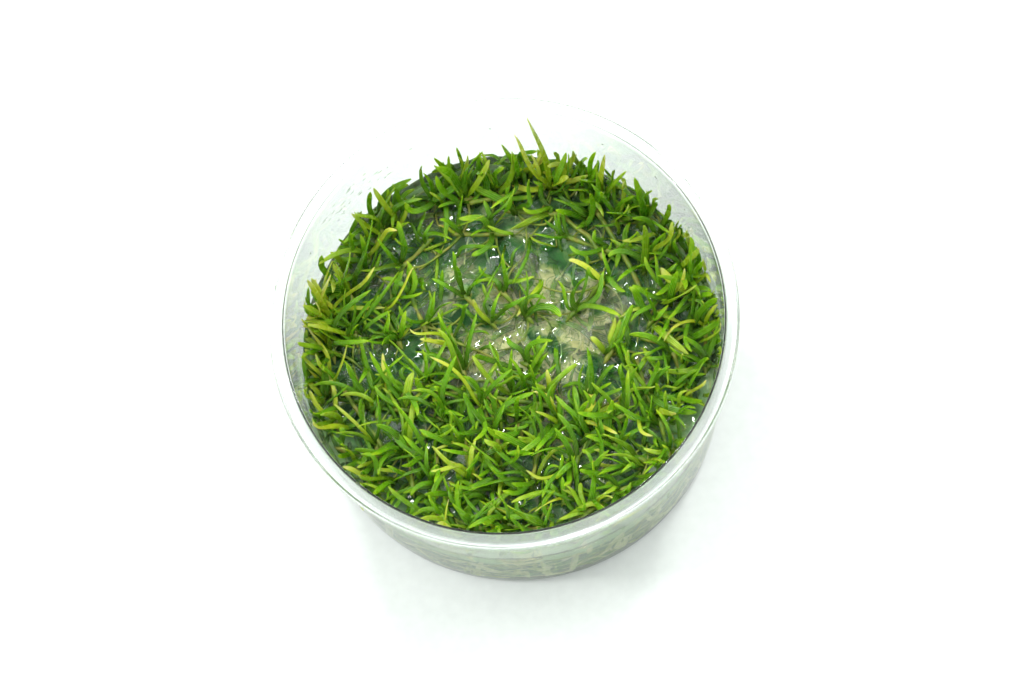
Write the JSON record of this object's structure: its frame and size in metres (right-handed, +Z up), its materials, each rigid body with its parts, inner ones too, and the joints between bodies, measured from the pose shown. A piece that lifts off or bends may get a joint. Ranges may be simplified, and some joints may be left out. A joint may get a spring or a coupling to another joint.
{
  "type": "tissue culture aquarium plants in a cup",
  "caption": "Open clear round cup, part filled with set gel, with a lawn of small creeping grass-like water plants growing from the gel.",
  "frame": {"origin": "centre of the cup's underside, on the surface that it stands on", "axes": "+Z up along the cup's axis, -Y towards the picture's viewer, +X to the viewer's right"},
  "size_m": [0.08, 0.08, 0.042],
  "materials": {
    "cup_plastic": "clear injection-moulded polystyrene, glossy",
    "gel": "clear set nutrient gel, green-tinted, wet and lumpy on top",
    "plant": "living leaf, satin, bright green with yellower tips"
  },
  "bodies": {
    "root": {"cup": "cup_plastic", "gel": "gel", "plantlet_01": "plant", "plantlet_02": "plant", "plantlet_03": "plant", "plantlet_04": "plant", "plantlet_05": "plant", "plantlet_06": "plant", "plantlet_07": "plant", "plantlet_08": "plant", "plantlet_09": "plant", "plantlet_10": "plant", "plantlet_11": "plant", "plantlet_12": "plant", "plantlet_13": "plant", "plantlet_14": "plant", "plantlet_15": "plant", "plantlet_16": "plant", "plantlet_17": "plant", "plantlet_18": "plant", "plantlet_19": "plant", "plantlet_20": "plant", "plantlet_21": "plant", "plantlet_22": "plant", "plantlet_23": "plant", "plantlet_24": "plant", "plantlet_25": "plant", "plantlet_26": "plant", "plantlet_27": "plant", "plantlet_28": "plant", "plantlet_29": "plant", "plantlet_30": "plant", "plantlet_31": "plant", "plantlet_32": "plant", "plantlet_33": "plant", "plantlet_34": "plant", "plantlet_35": "plant", "plantlet_36": "plant", "plantlet_37": "plant", "plantlet_38": "plant", "plantlet_39": "plant", "plantlet_40": "plant", "plantlet_41": "plant", "plantlet_42": "plant", "plantlet_43": "plant", "plantlet_44": "plant", "plantlet_45": "plant", "plantlet_46": "plant", "plantlet_47": "plant"}
  },
  "joints": []
}
